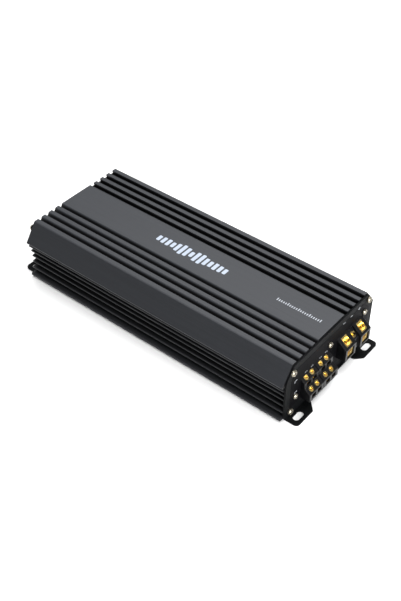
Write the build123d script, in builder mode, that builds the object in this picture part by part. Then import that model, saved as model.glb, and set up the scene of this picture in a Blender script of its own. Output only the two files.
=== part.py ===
from build123d import *
from math import atan2, cos, degrees, radians, sin
import os

# Four-channel car amplifier, in millimetres.
# +X points out of the terminal end, +Z up, and the origin is on the mounting surface,
# below the middle of the housing. The control end, with the inputs, is at -X.

# ---------------------------------------------------------------- driving dimensions
CASE_LENGTH = 269.0          # aluminium extrusion, cut square
CASE_TOP = 54.5              # fin tips above the mounting surface
CASE_BOTTOM = 1.8            # underside of the extrusion
LIP_HALF = 62.5              # widest point of the housing, from the centre line
LIP_Z = 38.0
TOP_HALF = 50.6              # where the flat top ends and the long chamfer starts
WALL_OUT = 54.0              # side wall, outside, between the fins
WALL_IN = 49.0
ROOF_IN = 45.5               # inside of the top wall
RAIL_IN = 44.0               # inner edge of the rails that carry board and cover
RAIL_TOP = 9.0

GROOVE_COUNT = 4             # grooves in the top, on each side of the centre panel
GROOVE_FIRST = 19.9
GROOVE_PITCH = 8.1
GROOVE_MOUTH = 4.3
GROOVE_DEPTH = 4.4

FIN_COUNT = 5                # fins on each side wall
FIN_PITCH = 6.0
FIN_FIRST_Z = CASE_TOP - 21.4
FIN_WAIST_Z = CASE_TOP - 35.0
FIN_WAIST_HALF = 58.2
FLANGE_HALF = 61.9
FLANGE_TOP = 4.3

PLATE_THICK = 1.5            # end plates, sheet steel
PLATE_HALF = 59.2
PLATE_TOP = CASE_TOP - 1.4
CONTROL_PLATE_TOP = CASE_TOP - 4.1       # low and narrow, so the grooves and fins end in the open
CONTROL_PLATE_HALF = 53.8
COVER_THICK = 1.5
COVER_HALF = 50.5

TAB_REACH = 12.8             # mounting tabs, out from the end of the extrusion
TAB_OUT_HALF = 57.3
TAB_IN_HALF = 36.6
TAB_ROOT_HALF = 30.2
TAB_THICK = 1.5
SLOT_Y = 48.0
SLOT_X = 7.2
SLOT_WIDTH = 5.5
SLOT_LENGTH = 11.0

BOARD_THICK = 1.6
BOARD_HALF = 48.7
BOARD_TOP = RAIL_TOP + BOARD_THICK

SCREW_R = 1.2                # M3 thread
HOLE_R = 1.25
HEAD_R = 2.8
HEAD_HEIGHT = 1.9

END = CASE_LENGTH / 2
CONTROL_END = -END
OUTER_FACE = END + PLATE_THICK

os.makedirs("parts", exist_ok=True)


def save(piece, node):
    piece.part.label = node
    export_step(piece.part, f"parts/{node}.step")


def both_sides(points):
    return [(side * y, z) for side in (-1, 1) for y, z in points]


def normal_plane(x, y, z, tilt):
    """Plane on a surface that leans tilt degrees towards +X, its z axis pointing out of it."""
    return Plane(origin=(x, y, z), x_dir=(0, 1, 0), z_dir=(sin(radians(tilt)), 0, cos(radians(tilt))))


def disc(plane, radius):
    with BuildSketch(plane) as round_face:
        Circle(radius)
    return round_face.sketch


def pan_screw(plane, length, head_r=HEAD_R, head_height=HEAD_HEIGHT, shank_r=SCREW_R):
    """Cross-recessed pan head on the plane, with its shank going back through it."""
    skirt = head_height * 0.55
    extrude(disc(plane, shank_r), amount=-length)
    extrude(disc(plane, head_r), amount=skirt)
    extrude(disc(plane.offset(skirt), head_r), amount=head_height - skirt, taper=38)
    with BuildSketch(plane.offset(head_height)) as recess:
        Rectangle(head_r, head_r * 0.26)
        Rectangle(head_r * 0.26, head_r)
    extrude(recess.sketch, amount=-head_height * 0.6, mode=Mode.SUBTRACT)


def set_screw(plane, radius, top_depth, length, socket):
    """Headless screw with a hexagon socket and a blunt cone point, sunk below the plane."""
    point = radius * 0.35
    extrude(disc(plane.offset(-top_depth), radius), amount=-(length - point))
    extrude(disc(plane.offset(-top_depth - length + point), radius), amount=-point, taper=40)
    with BuildSketch(plane.offset(-top_depth)) as hexagon:
        RegularPolygon(socket / 2, 6, major_radius=False)
    extrude(hexagon.sketch, amount=-length * 0.5, mode=Mode.SUBTRACT)


# ---------------------------------------------------------------- heatsink housing
# One aluminium extrusion: fluted top with a plain centre panel, long chamfers, finned
# sides, inner rails for the board and the cover, and screw ports along its whole length.
UPPER_PORT = (51.6, 47.2)
LOWER_PORT = (51.8, 5.6)


def fin_reach(z):
    return FIN_WAIST_HALF + 0.0125 * (z - FIN_WAIST_Z) ** 2


with BuildPart() as heatsink_housing:
    with BuildSketch(Plane.YZ.offset(-END)):
        with BuildLine():
            Polyline(
                (0, CASE_TOP),
                (TOP_HALF - 0.5, CASE_TOP),
                (TOP_HALF + 0.35, CASE_TOP - 0.45),
                (LIP_HALF - 0.45, LIP_Z + 0.9),
            )
            ThreePointArc((LIP_HALF - 0.45, LIP_Z + 0.9), (LIP_HALF, LIP_Z - 0.4), (LIP_HALF - 1.1, LIP_Z - 1.3))
            Polyline(
                (LIP_HALF - 1.1, LIP_Z - 1.3),
                (WALL_OUT, LIP_Z - 2.2),
                (WALL_OUT, FLANGE_TOP + 0.6),
                (FLANGE_HALF - 0.7, FLANGE_TOP),
                (FLANGE_HALF, FLANGE_TOP - 0.7),
                (FLANGE_HALF, CASE_BOTTOM),
                (COVER_HALF + 0.1, CASE_BOTTOM),
                (COVER_HALF + 0.1, CASE_BOTTOM + COVER_THICK),
                (RAIL_IN, CASE_BOTTOM + COVER_THICK),
                (RAIL_IN, RAIL_TOP),
                (WALL_IN, RAIL_TOP),
                (WALL_IN, ROOF_IN - 4.0),
                (WALL_IN - 3.0, ROOF_IN),
                (0, ROOF_IN),
            )
            mirror(about=Plane.YZ)
        make_face()
        for side in (-1, 1):
            for row in range(FIN_COUNT):
                z = FIN_FIRST_Z - row * FIN_PITCH
                tip = fin_reach(z)
                with BuildLine():
                    Polyline(
                        (side * (tip - 0.9), z + 0.95),
                        (side * (WALL_OUT - 0.5), z + 1.4),
                        (side * (WALL_OUT - 0.5), z - 1.4),
                        (side * (tip - 0.9), z - 0.95),
                    )
                    ThreePointArc(
                        (side * (tip - 0.9), z - 0.95), (side * tip, z), (side * (tip - 0.9), z + 0.95)
                    )
                make_face()
            for row in range(GROOVE_COUNT):
                centre = GROOVE_FIRST + row * GROOVE_PITCH
                inner = centre - GROOVE_MOUTH / 2
                outer = centre + GROOVE_MOUTH / 2
                with BuildLine():
                    Polyline(
                        (side * (inner - 0.5), CASE_TOP + 0.1),
                        (side * (inner - 0.4), CASE_TOP),
                        (side * (inner + 0.15), CASE_TOP - 0.4),
                        (side * (centre + 0.2), CASE_TOP - GROOVE_DEPTH),
                        (side * (outer + 0.9), CASE_TOP - GROOVE_DEPTH),
                        (side * outer, CASE_TOP - 0.9),
                        (side * outer, CASE_TOP + 0.1),
                        close=True,
                    )
                make_face(mode=Mode.SUBTRACT)
        with Locations(*both_sides([UPPER_PORT, LOWER_PORT])):
            Circle(HOLE_R, mode=Mode.SUBTRACT)
    extrude(amount=CASE_LENGTH)

    # Tapped holes in the rails: board screws come from above, cover screws from below.
    RAIL_SCREW_Y = 46.5
    BOARD_SCREW_X = (-120.0, -42.0, 42.0, 118.0)
    COVER_SCREW_X = (-100.0, 0.0, 100.0)
    with BuildSketch(Plane.XY.offset(RAIL_TOP)):
        with Locations(*[(x, side * RAIL_SCREW_Y) for x in BOARD_SCREW_X for side in (-1, 1)]):
            Circle(HOLE_R)
    extrude(amount=-4.5, mode=Mode.SUBTRACT)
    with BuildSketch(Plane.XY.offset(CASE_BOTTOM + COVER_THICK)):
        with Locations(*[(x, side * RAIL_SCREW_Y) for x in COVER_SCREW_X for side in (-1, 1)]):
            Circle(HOLE_R)
    extrude(amount=4.5, mode=Mode.SUBTRACT)

    # Tapped holes in the side walls for the transistor clamp screws.
    CLAMP_SCREW_X = (-30.0, 15.0, 60.0, 105.0)
    CLAMP_Z = 23.5
    for side in (-1, 1):
        with BuildSketch(Plane.XZ.offset(-side * WALL_IN)):
            with Locations(*[(x, CLAMP_Z) for x in CLAMP_SCREW_X]):
                Circle(HOLE_R)
        extrude(amount=-side * 4.2, mode=Mode.SUBTRACT)
save(heatsink_housing, "heatsink_housing")


# ---------------------------------------------------------------- bottom cover and its screws
with BuildPart() as bottom_cover:
    with BuildSketch(Plane.XY.offset(CASE_BOTTOM)):
        Rectangle(CASE_LENGTH, 2 * COVER_HALF)
        with Locations(*[(x, side * RAIL_SCREW_Y) for x in COVER_SCREW_X for side in (-1, 1)]):
            Circle(1.6, mode=Mode.SUBTRACT)
    extrude(amount=COVER_THICK)
    with Locations(*[(x, side * RAIL_SCREW_Y, CASE_BOTTOM) for x in COVER_SCREW_X for side in (-1, 1)]):
        Cone(3.0, 1.6, 1.4, align=(Align.CENTER, Align.CENTER, Align.MIN), mode=Mode.SUBTRACT)
save(bottom_cover, "bottom_cover")

with BuildPart() as cover_screws:
    for x in COVER_SCREW_X:
        for side in (-1, 1):
            with BuildSketch(Plane.XY.offset(CASE_BOTTOM)):
                with Locations((x, side * RAIL_SCREW_Y)):
                    Circle(SCREW_R)
            extrude(amount=5.6)
            with BuildSketch(Plane.XZ.offset(-side * RAIL_SCREW_Y)):
                with BuildLine():
                    Polyline(
                        (x, CASE_BOTTOM + 0.1),
                        (x + 2.7, CASE_BOTTOM + 0.1),
                        (x + SCREW_R, CASE_BOTTOM + 1.4),
                        (x, CASE_BOTTOM + 1.4),
                        close=True,
                    )
                make_face()
            revolve(axis=Axis((x, side * RAIL_SCREW_Y, 0), (0, 0, 1)))
            with BuildSketch(Plane.XY.offset(CASE_BOTTOM)):
                with Locations((x, side * RAIL_SCREW_Y)):
                    Rectangle(2.8, 0.7)
                    Rectangle(0.7, 2.8)
            extrude(amount=1.0, mode=Mode.SUBTRACT)
save(cover_screws, "cover_screws")


# ---------------------------------------------------------------- terminal blocks, common shape
# Both blocks lean back at the same angle, so their set screws are reached from above.
# x values below count outwards from the end of the extrusion.
def at(x):
    return END + x


POWER_Y = (9.0, 45.0)                    # both side faces of the power block
POWER_BASE = 15.4
POWER_FRONT = 10.6
POWER_SHOULDER = 27.3                    # where the slope meets the front face
POWER_CREST = 36.0                       # where the slope meets the end plate
POWER_TILT = degrees(atan2(POWER_CREST - POWER_SHOULDER, POWER_FRONT))
POWER_CENTRES = (16.2, 37.7)             # ground, battery
POWER_BORE_Z = 21.5
POWER_BORE_R = 3.2
POWER_CONTACT_HALF = 5.6
POWER_SCREW_X = 5.75
POWER_SCREW_R = 3.5
BLOCK_ROUND = 0.5                        # radius of the moulded edges of both blocks
POWER_WINDOW = (7.8, 8.6)                # width, length up the slope
POWER_ENTRY = (9.6, 9.4)                 # square entry for the cable, in the front face
POWER_CONTACT_FRONT = 9.0                # the contact stands back behind the entry

REMOTE_Y = 26.6
REMOTE_DROP = 2.0                        # the middle bay lies lower than the two large ones
REMOTE_FRONT = 8.0
REMOTE_SCREW_X = 4.9
REMOTE_SCREW_R = 2.3
REMOTE_BORE_R = 2.0

BLOCK_BACK = -10.5
EAR_THICK = 2.2
POWER_EAR = (-6.5, 48.8)
POWER_EAR_Z = (33.6, 41.4)
POWER_FIXINGS = ((-2.3, 38.4), (46.4, 37.9))

SPEAKER_Y = (-39.1, -0.9)
SPEAKER_POSITIONS = (-33.7, -26.0, -14.5, -6.8)
SPEAKER_FLOOR = 10.7
UPPER_SHELF = dict(crest=(0.0, 31.0), shoulder=(4.9, 27.1), foot=22.2, screw_x=2.45, bore_z=24.5)
LOWER_SHELF = dict(crest=(5.3, 22.2), shoulder=(10.4, 18.0), foot=SPEAKER_FLOOR, screw_x=7.9, bore_z=14.9)
SPEAKER_SCREW_R = 2.2
SPEAKER_WELL_R = 2.65
SPEAKER_BORE_R = 1.95
SPEAKER_EAR = (-48.8, -39.0)
SPEAKER_EAR_Z = (13.0, 24.0)
SPEAKER_FIXING = (-46.6, 18.6)


def power_slope_z(x, drop=0.0):
    return POWER_CREST - drop - x * (POWER_CREST - POWER_SHOULDER) / POWER_FRONT


def shelf_tilt(shelf):
    (x0, z0), (x1, z1) = shelf["crest"], shelf["shoulder"]
    return degrees(atan2(z0 - z1, x1 - x0))


def shelf_z(shelf, x):
    (x0, z0), (x1, z1) = shelf["crest"], shelf["shoulder"]
    return z0 - (x - x0) * (z0 - z1) / (x1 - x0)


def shelf_plane(shelf, y):
    x = shelf["screw_x"]
    return normal_plane(at(x), y, shelf_z(shelf, x), shelf_tilt(shelf))


def power_plane(y):
    return normal_plane(at(POWER_SCREW_X), y, power_slope_z(POWER_SCREW_X), POWER_TILT)


REMOTE_PLANE = normal_plane(
    at(REMOTE_SCREW_X), REMOTE_Y, power_slope_z(REMOTE_SCREW_X, REMOTE_DROP), POWER_TILT
)


def power_contact_profile():
    """Side view of a large contact: it follows the slope, one wall thickness below it."""
    skin = 1.3 / cos(radians(POWER_TILT))
    Polyline(
        (at(-8.0), POWER_BASE + 1.0),
        (at(POWER_CONTACT_FRONT), POWER_BASE + 1.0),
        (at(POWER_CONTACT_FRONT), power_slope_z(POWER_CONTACT_FRONT) - skin),
        (at(1.0), power_slope_z(1.0) - skin),
        (at(-8.0), power_slope_z(1.0) - skin),
        close=True,
    )


def remote_contact_profile():
    skin = 1.3 / cos(radians(POWER_TILT))
    Polyline(
        (at(-8.0), POWER_BORE_Z - 3.2),
        (at(7.0), POWER_BORE_Z - 3.2),
        (at(7.0), power_slope_z(7.0, REMOTE_DROP) - skin),
        (at(0.5), power_slope_z(0.5, REMOTE_DROP) - skin),
        (at(-8.0), power_slope_z(0.5, REMOTE_DROP) - skin),
        close=True,
    )


def shelf_contact_profile(shelf):
    front = shelf["shoulder"][0] - 1.6
    skin = 1.2 / cos(radians(shelf_tilt(shelf)))
    knee = shelf["crest"][0] + 0.5
    Polyline(
        (at(front - 9.0), shelf["bore_z"] - 2.7),
        (at(front), shelf["bore_z"] - 2.7),
        (at(front), shelf_z(shelf, front) - skin),
        (at(knee), shelf_z(shelf, knee) - skin),
        (at(front - 9.0), shelf_z(shelf, knee) - skin),
        close=True,
    )


# ---------------------------------------------------------------- power terminal block
REMOTE_BAY = (23.4, 30.4)
REMOTE_CONTACT_HALF = 2.8
FIT = 0.1                                # clearance of a contact in its pocket

with BuildPart() as power_terminal_housing:
    with BuildSketch(Plane.XZ.offset(-POWER_Y[1])):
        with BuildLine():
            Polyline(
                (at(BLOCK_BACK), BOARD_TOP),
                (at(-0.3), BOARD_TOP),
                (at(-0.3), POWER_BASE),
                (at(POWER_FRONT), POWER_BASE),
                (at(POWER_FRONT), POWER_SHOULDER),
                (at(0.0), POWER_CREST),
                (at(BLOCK_BACK), POWER_CREST),
                close=True,
            )
        make_face()
    extrude(amount=POWER_Y[1] - POWER_Y[0])
    # Round the moulded edges that stand out of the end plate.
    fillet(power_terminal_housing.edges().filter_by_position(Axis.X, at(0.6), at(20.0)), radius=BLOCK_ROUND)
    # The middle bay for the remote terminal lies back from the large ones.
    with BuildSketch(Plane.XZ.offset(-REMOTE_BAY[1])):
        with BuildLine():
            Polyline(
                (at(1.5), POWER_CREST + 2.0),
                (at(1.5), power_slope_z(1.5, REMOTE_DROP)),
                (at(REMOTE_FRONT), power_slope_z(REMOTE_FRONT, REMOTE_DROP)),
                (at(REMOTE_FRONT), POWER_BASE - 1.0),
                (at(POWER_FRONT + 2.0), POWER_BASE - 1.0),
                (at(POWER_FRONT + 2.0), POWER_CREST + 2.0),
                close=True,
            )
        make_face()
    extrude(amount=REMOTE_BAY[1] - REMOTE_BAY[0], mode=Mode.SUBTRACT)
    # Ear behind the end plate for the two fixing screws.
    with BuildSketch(Plane.YZ.offset(at(-0.1))):
        with Locations(((POWER_EAR[0] + POWER_EAR[1]) / 2, (POWER_EAR_Z[0] + POWER_EAR_Z[1]) / 2)):
            Rectangle(POWER_EAR[1] - POWER_EAR[0], POWER_EAR_Z[1] - POWER_EAR_Z[0])
    extrude(amount=-EAR_THICK)
    with BuildSketch(Plane.YZ.offset(at(0.0))):
        with Locations(*POWER_FIXINGS):
            Circle(HOLE_R)
    extrude(amount=-5.0, mode=Mode.SUBTRACT)
    # Pockets for the contacts, open at the back, with a window and a wire entry each.
    for y in POWER_CENTRES:
        with BuildSketch(Plane.XZ.offset(-y - POWER_CONTACT_HALF - FIT)):
            with BuildLine():
                power_contact_profile()
            make_face()
            offset(amount=FIT, kind=Kind.INTERSECTION)
            with Locations((at(BLOCK_BACK), POWER_BORE_Z + 3.0)):
                Rectangle(6.0, 15.0)
        extrude(amount=2 * (POWER_CONTACT_HALF + FIT), mode=Mode.SUBTRACT)
        with BuildSketch(power_plane(y)):
            Rectangle(*POWER_WINDOW)
        extrude(amount=2.0, both=True, mode=Mode.SUBTRACT)
        with BuildSketch(Plane.YZ.offset(at(POWER_CONTACT_FRONT))):
            with Locations((y, POWER_BORE_Z)):
                Rectangle(*POWER_ENTRY)
        extrude(amount=POWER_FRONT, mode=Mode.SUBTRACT)
    with BuildSketch(Plane.XZ.offset(-REMOTE_Y - REMOTE_CONTACT_HALF - FIT)):
        with BuildLine():
            remote_contact_profile()
        make_face()
        offset(amount=FIT, kind=Kind.INTERSECTION)
        with Locations((at(BLOCK_BACK), POWER_BORE_Z + 2.0)):
            Rectangle(6.0, 9.0)
    extrude(amount=2 * (REMOTE_CONTACT_HALF + FIT), mode=Mode.SUBTRACT)
    with BuildSketch(REMOTE_PLANE):
        Circle(REMOTE_SCREW_R + 0.45)
    extrude(amount=3.0, both=True, mode=Mode.SUBTRACT)
    with BuildSketch(Plane.YZ.offset(at(REMOTE_FRONT + 0.5))):
        with Locations((REMOTE_Y, POWER_BORE_Z)):
            Circle(REMOTE_BORE_R + 0.3)
    extrude(amount=-2.0, mode=Mode.SUBTRACT)
save(power_terminal_housing, "power_terminal_housing")


POWER_NODES = ("ground", "battery")
for name, y in zip(POWER_NODES, POWER_CENTRES):
    with BuildPart() as power_contact:
        with BuildSketch(Plane.XZ.offset(-y - POWER_CONTACT_HALF)):
            with BuildLine():
                power_contact_profile()
            make_face()
        extrude(amount=2 * POWER_CONTACT_HALF)
        # Raised pad that fills the window in the housing, just below its surface.
        with BuildSketch(power_plane(y).offset(-0.35)):
            Rectangle(POWER_WINDOW[0] - 0.2, POWER_WINDOW[1] - 0.2)
        extrude(amount=-2.0)
        with BuildSketch(Plane.YZ.offset(at(POWER_CONTACT_FRONT))):
            with Locations((y, POWER_BORE_Z)):
                Circle(POWER_BORE_R)
        extrude(amount=-13.0, mode=Mode.SUBTRACT)
        with BuildSketch(power_plane(y).offset(1.0)):
            Circle(POWER_SCREW_R + 0.05)
        extrude(amount=-12.0, mode=Mode.SUBTRACT)
    save(power_contact, f"{name}_contact")

    with BuildPart() as power_screw:
        set_screw(power_plane(y), POWER_SCREW_R, 2.3, 4.0, 4.0)
    save(power_screw, f"{name}_screw")

with BuildPart() as remote_contact:
    with BuildSketch(Plane.XZ.offset(-REMOTE_Y - REMOTE_CONTACT_HALF)):
        with BuildLine():
            remote_contact_profile()
        make_face()
    extrude(amount=2 * REMOTE_CONTACT_HALF)
    with BuildSketch(Plane.YZ.offset(at(REMOTE_FRONT))):
        with Locations((REMOTE_Y, POWER_BORE_Z)):
            Circle(REMOTE_BORE_R)
    extrude(amount=-13.0, mode=Mode.SUBTRACT)
    with BuildSketch(REMOTE_PLANE):
        Circle(REMOTE_SCREW_R + 0.05)
    extrude(amount=-8.5, mode=Mode.SUBTRACT)
save(remote_contact, "remote_contact")

with BuildPart() as remote_screw:
    set_screw(REMOTE_PLANE, REMOTE_SCREW_R, 1.3, 3.4, 2.0)
save(remote_screw, "remote_screw")


# ---------------------------------------------------------------- speaker terminal block
# Two rows of four: each row has sloping wells for the set screws over square wire entries.
with BuildPart() as speaker_terminal_housing:
    with BuildSketch(Plane.XZ.offset(-SPEAKER_Y[1])):
        with BuildLine():
            Polyline(
                (at(BLOCK_BACK), BOARD_TOP),
                (at(10.8), BOARD_TOP),
                (at(10.4), 18.0),
                (at(5.3), 22.2),
                (at(4.9), 27.1),
                (at(0.0), 31.0),
                (at(BLOCK_BACK), 31.0),
                close=True,
            )
        make_face()
    extrude(amount=SPEAKER_Y[1] - SPEAKER_Y[0])
    fillet(speaker_terminal_housing.edges().filter_by_position(Axis.X, at(0.6), at(20.0)), radius=BLOCK_ROUND)
    # Saw cut that parts the left pairs from the right pairs.
    with BuildSketch(Plane.XZ.offset(20.0)):
        with BuildLine():
            Polyline(
                (at(9.6), BOARD_TOP - 1.0),
                (at(9.6), 17.5),
                (at(4.2), 21.8),
                (at(3.8), 26.6),
                (at(0.6), 29.2),
                (at(0.6), 33.0),
                (at(14.0), 33.0),
                (at(14.0), BOARD_TOP - 1.0),
                close=True,
            )
        make_face()
    extrude(amount=0.8, mode=Mode.SUBTRACT)
    # Ear behind the end plate for the fixing screw.
    with BuildSketch(Plane.YZ.offset(at(-0.1))):
        with Locations(((SPEAKER_EAR[0] + SPEAKER_EAR[1]) / 2, (SPEAKER_EAR_Z[0] + SPEAKER_EAR_Z[1]) / 2)):
            Rectangle(SPEAKER_EAR[1] - SPEAKER_EAR[0], SPEAKER_EAR_Z[1] - SPEAKER_EAR_Z[0])
    extrude(amount=-EAR_THICK)
    with BuildSketch(Plane.YZ.offset(at(0.0))):
        with Locations(SPEAKER_FIXING):
            Circle(HOLE_R)
    extrude(amount=-5.0, mode=Mode.SUBTRACT)
    for y in SPEAKER_POSITIONS:
        for shelf in (UPPER_SHELF, LOWER_SHELF):
            front = shelf["shoulder"][0]
            with BuildSketch(Plane.XZ.offset(-y - 3.0 - FIT)):
                with BuildLine():
                    shelf_contact_profile(shelf)
                make_face()
                offset(amount=FIT, kind=Kind.INTERSECTION)
            extrude(amount=6.0 + 2 * FIT, mode=Mode.SUBTRACT)
            with BuildSketch(shelf_plane(shelf, y)):
                Circle(SPEAKER_WELL_R)
            extrude(amount=2.2, both=True, mode=Mode.SUBTRACT)
            with BuildSketch(Plane.YZ.offset(at(front + 1.0))):
                with Locations((y, shelf["bore_z"])):
                    Rectangle(5.4, 4.2)
            extrude(amount=-2.6, mode=Mode.SUBTRACT)
save(speaker_terminal_housing, "speaker_terminal_housing")

with BuildPart() as speaker_contacts:
    for y in SPEAKER_POSITIONS:
        for shelf in (UPPER_SHELF, LOWER_SHELF):
            front = shelf["shoulder"][0]
            with BuildSketch(Plane.XZ.offset(-y - 3.0)):
                with BuildLine():
                    shelf_contact_profile(shelf)
                make_face()
            extrude(amount=6.0)
            with BuildSketch(Plane.YZ.offset(at(front))):
                with Locations((y, shelf["bore_z"])):
                    Circle(SPEAKER_BORE_R)
            extrude(amount=-8.5, mode=Mode.SUBTRACT)
            with BuildSketch(shelf_plane(shelf, y)):
                Circle(SPEAKER_SCREW_R + 0.05)
            extrude(amount=-6.6, mode=Mode.SUBTRACT)
save(speaker_contacts, "speaker_contacts")

for row, shelf in (("upper", UPPER_SHELF), ("lower", LOWER_SHELF)):
    for number, y in enumerate(SPEAKER_POSITIONS, start=1):
        with BuildPart() as speaker_screw:
            set_screw(shelf_plane(shelf, y), SPEAKER_SCREW_R, 0.6, 3.0, 2.0)
        save(speaker_screw, f"speaker_screw_{row}_{number}")


# ---------------------------------------------------------------- end plates
# Sheet steel, bent outwards along the bottom into a narrow flange and two slotted tabs.
def plate_outline():
    Polyline(
        (0, PLATE_TOP),
        (TOP_HALF - 1.2, PLATE_TOP),
        (TOP_HALF + 0.95, PLATE_TOP - 0.9),
        (PLATE_HALF - 1.25, PLATE_TOP - 9.6),
        (PLATE_HALF, PLATE_TOP - 12.2),
        (PLATE_HALF, 4.0),
        (PLATE_HALF - 2.2, 0),
        (0, 0),
    )
    mirror(about=Plane.YZ)


def control_plate_outline():
    """Steps out only around the four corner screws."""
    Polyline(
        (0, CONTROL_PLATE_TOP),
        (CONTROL_PLATE_HALF - 1.0, CONTROL_PLATE_TOP),
        (CONTROL_PLATE_HALF + 0.6, CONTROL_PLATE_TOP - 1.6),
        (CONTROL_PLATE_HALF + 0.8, CONTROL_PLATE_TOP - 9.4),
        (CONTROL_PLATE_HALF, CONTROL_PLATE_TOP - 11.9),
        (CONTROL_PLATE_HALF, 10.5),
        (CONTROL_PLATE_HALF + 1.4, 8.8),
        (CONTROL_PLATE_HALF + 1.4, 3.2),
        (CONTROL_PLATE_HALF - 0.8, 0),
        (0, 0),
    )
    mirror(about=Plane.YZ)


def tab_outline(inner_x, side):
    """Plan of one tab, with its rounded outer corner, for an end plate at +X."""
    reach = END + TAB_REACH
    corner = 3.6
    Polyline(
        (inner_x, side * TAB_ROOT_HALF),
        (END + 6.6, side * TAB_ROOT_HALF),
        (reach, side * TAB_IN_HALF),
        (reach, side * (TAB_OUT_HALF - corner)),
    )
    ThreePointArc(
        (reach, side * (TAB_OUT_HALF - corner)),
        (reach - 0.293 * corner, side * (TAB_OUT_HALF - 0.293 * corner)),
        (reach - corner, side * TAB_OUT_HALF),
    )
    Polyline(
        (reach - corner, side * TAB_OUT_HALF),
        (inner_x, side * TAB_OUT_HALF),
        (inner_x, side * TAB_ROOT_HALF),
    )


def bent_foot():
    """Flange and tabs of the plate at +X, added to the part that is being built."""
    with BuildSketch(Plane.XY) as foot:
        with Locations((END + 1.75, 0)):
            Rectangle(3.5, 2 * TAB_OUT_HALF)
        for side in (-1, 1):
            with BuildLine():
                tab_outline(END, side)
            make_face()
        with Locations(*[(END + SLOT_X, side * SLOT_Y) for side in (-1, 1)]):
            SlotOverall(SLOT_LENGTH, SLOT_WIDTH, rotation=90, mode=Mode.SUBTRACT)
    extrude(foot.sketch, amount=TAB_THICK)


def corner_holes():
    with Locations(*both_sides([UPPER_PORT, LOWER_PORT])):
        Circle(1.6, mode=Mode.SUBTRACT)


with BuildPart() as terminal_end_plate:
    with BuildSketch(Plane.YZ.offset(END)):
        with BuildLine():
            plate_outline()
        make_face()
        corner_holes()
        with Locations(*POWER_FIXINGS, SPEAKER_FIXING):
            Circle(1.6, mode=Mode.SUBTRACT)
        with Locations(((POWER_Y[0] + POWER_Y[1]) / 2, (POWER_BASE + POWER_CREST) / 2)):
            Rectangle(POWER_Y[1] - POWER_Y[0] + 0.3, POWER_CREST - POWER_BASE + 0.3, mode=Mode.SUBTRACT)
        with Locations(((SPEAKER_Y[0] + SPEAKER_Y[1]) / 2, (BOARD_TOP + 31.0) / 2)):
            Rectangle(SPEAKER_Y[1] - SPEAKER_Y[0] + 0.3, 31.0 - BOARD_TOP + 0.3, mode=Mode.SUBTRACT)
    extrude(amount=PLATE_THICK)
    bent_foot()
    fillet(
        terminal_end_plate.edges().filter_by(Axis.Y).filter_by_position(Axis.Z, TAB_THICK - 0.01, TAB_THICK + 0.01)
        .filter_by_position(Axis.X, OUTER_FACE - 0.01, OUTER_FACE + 0.01),
        radius=0.8,
    )
save(terminal_end_plate, "terminal_end_plate")


# ---------------------------------------------------------------- control end layout
# All positions are (y, z) on the plate at -X.
CONTROL_Z = 20.0
POT_Y = (-29.0, -19.5, -10.0, -0.5, 9.0)
POT_NODES = ("front_crossover", "front_gain", "bass_boost", "rear_gain", "rear_crossover")
POT_SHAFT_R = 3.0
SWITCH_Y = (-38.0, 17.95)
SWITCH_NODES = ("front_filter", "rear_filter")
SWITCH_SLOT = (7.6, 3.4)
SLIDER_SIZE = (2.6, 2.6)
LED_POSITIONS = ((-46.0, 16.5), (-46.0, 23.5))
LED_R = 1.5
JACK_Y = (29.0, 42.0)
JACK_Z = (18.6, 32.6)
JACK_SHELL_R = 4.13
JACK_TAIL_R = 3.88                       # the shell is stepped down where it sits in the block
JACK_BORE_R = JACK_TAIL_R + 0.02
JACK_CORE_R = 3.58
JACK_BOSS = CONTROL_END - PLATE_THICK - 0.6
JACK_POSITIONS = [(y, z) for y in JACK_Y for z in JACK_Z]
JACK_BODY = (22.4, 48.6)
CONTROL_FACE = CONTROL_END - PLATE_THICK

with BuildPart() as control_end_plate:
    with BuildSketch(Plane.YZ.offset(END)):
        with BuildLine():
            control_plate_outline()
        make_face()
        corner_holes()
        with Locations(*[(y, CONTROL_Z) for y in POT_Y]):
            Circle(POT_SHAFT_R + 0.5, mode=Mode.SUBTRACT)
        with Locations(*[(y, CONTROL_Z) for y in SWITCH_Y]):
            Rectangle(*SWITCH_SLOT, mode=Mode.SUBTRACT)
        with Locations(*LED_POSITIONS):
            Circle(LED_R + 0.1, mode=Mode.SUBTRACT)
        with Locations(*JACK_POSITIONS):
            Circle(5.6, mode=Mode.SUBTRACT)
    extrude(amount=PLATE_THICK)
    bent_foot()
    fillet(
        control_end_plate.edges().filter_by(Axis.Y).filter_by_position(Axis.Z, TAB_THICK - 0.01, TAB_THICK + 0.01)
        .filter_by_position(Axis.X, OUTER_FACE - 0.01, OUTER_FACE + 0.01),
        radius=0.8,
    )
    mirror(about=Plane.YZ, mode=Mode.REPLACE)
save(control_end_plate, "control_end_plate")


# ---------------------------------------------------------------- screws through the end plates
def outward(face_x, y, z):
    direction = 1 if face_x > 0 else -1
    return Plane(origin=(face_x, y, z), x_dir=(0, 1, 0), z_dir=(direction, 0, 0))


for node, face in (("terminal_end_screws", OUTER_FACE), ("control_end_screws", CONTROL_FACE)):
    with BuildPart() as end_screws:
        for y, z in both_sides([UPPER_PORT, LOWER_PORT]):
            pan_screw(outward(face, y, z), 9.0)
    save(end_screws, node)

with BuildPart() as block_screws:
    for y, z in (*POWER_FIXINGS, SPEAKER_FIXING):
        pan_screw(outward(OUTER_FACE, y, z), 3.6, head_r=2.5)
save(block_screws, "block_screws")


# ---------------------------------------------------------------- circuit board and its screws
BOARD_LENGTH = CASE_LENGTH - 3.0

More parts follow.
